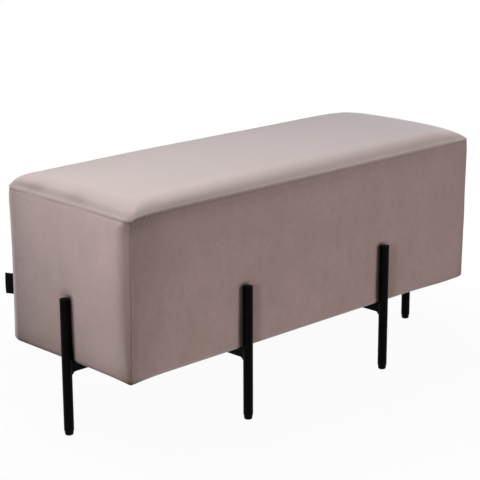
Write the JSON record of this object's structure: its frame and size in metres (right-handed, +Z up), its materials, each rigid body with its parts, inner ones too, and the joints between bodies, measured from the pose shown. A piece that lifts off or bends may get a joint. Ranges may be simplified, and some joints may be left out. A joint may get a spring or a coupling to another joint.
{
  "type": "upholstered bench pouf",
  "caption": "Long upholstered bench pouf with a softly crowned top, boxed velvet sides and slim round black steel legs that stand outside the cover on screw-in levelling feet.",
  "frame": {"origin": "on the floor under the middle of the bench", "axes": "+X along the bench, +Y across it to the rear, +Z up"},
  "size_m": [1, 0.3837, 0.477],
  "materials": {
    "velvet": "short-pile velvet, dusty mauve",
    "foam": "cut polyurethane foam",
    "wadding": "polyester wadding",
    "board": "plain plywood and chipboard",
    "black_steel": "satin black powder coat",
    "zinc_steel": "zinc plated",
    "black_plastic": "moulded matt black",
    "black_cloth": "non-woven dust cloth",
    "label_cloth": "woven tape, left blank"
  },
  "bodies": {
    "bench": {"base_board": "board", "front_board": "board", "rear_board": "board", "left_end_board": "board", "right_end_board": "board", "centre_divider": "board", "top_deck": "board", "front_left_corner_block": "board", "front_right_corner_block": "board", "rear_left_corner_block": "board", "rear_right_corner_block": "board", "top_foam": "foam", "front_foam": "foam", "rear_foam": "foam", "left_foam": "foam", "right_foam": "foam", "top_wadding": "wadding", "top_panel": "velvet", "front_panel": "velvet", "rear_panel": "velvet", "left_end_panel": "velvet", "right_end_panel": "velvet", "dust_cloth": "black_cloth", "side_label": "label_cloth", "carcass_screws": "zinc_steel", "tee_nuts": "zinc_steel", "cover_staples": "zinc_steel", "dust_cloth_staples": "zinc_steel", "left_cross_bar": "black_steel", "right_cross_bar": "black_steel", "left_end_bar": "black_steel", "right_end_bar": "black_steel", "left_end_leg": "black_steel", "right_end_leg": "black_steel", "front_left_leg": "black_steel", "front_right_leg": "black_steel", "rear_left_leg": "black_steel", "rear_right_leg": "black_steel", "frame_welds": "black_steel", "leg_caps": "black_steel", "frame_bolts": "black_steel", "leg_inserts": "black_plastic"},
    "left_end_leveller": {"left_end_foot": "black_plastic", "left_end_foot_stud": "zinc_steel"},
    "right_end_leveller": {"right_end_foot": "black_plastic", "right_end_foot_stud": "zinc_steel"},
    "front_left_leveller": {"front_left_foot": "black_plastic", "front_left_foot_stud": "zinc_steel"},
    "front_right_leveller": {"front_right_foot": "black_plastic", "front_right_foot_stud": "zinc_steel"},
    "rear_left_leveller": {"rear_left_foot": "black_plastic", "rear_left_foot_stud": "zinc_steel"},
    "rear_right_leveller": {"rear_right_foot": "black_plastic", "rear_right_foot_stud": "zinc_steel"}
  },
  "joints": [
    {"name": "left_end_foot_screw", "type": "slide", "parent": "bench", "child": "left_end_leveller", "axis": [0, 0, -1], "range_m": [0, 0.008]},
    {"name": "right_end_foot_screw", "type": "slide", "parent": "bench", "child": "right_end_leveller", "axis": [0, 0, -1], "range_m": [0, 0.008]},
    {"name": "front_left_foot_screw", "type": "slide", "parent": "bench", "child": "front_left_leveller", "axis": [0, 0, -1], "range_m": [0, 0.008]},
    {"name": "front_right_foot_screw", "type": "slide", "parent": "bench", "child": "front_right_leveller", "axis": [0, 0, -1], "range_m": [0, 0.008]},
    {"name": "rear_left_foot_screw", "type": "slide", "parent": "bench", "child": "rear_left_leveller", "axis": [0, 0, -1], "range_m": [0, 0.008]},
    {"name": "rear_right_foot_screw", "type": "slide", "parent": "bench", "child": "rear_right_leveller", "axis": [0, 0, -1], "range_m": [0, 0.008]}
  ]
}
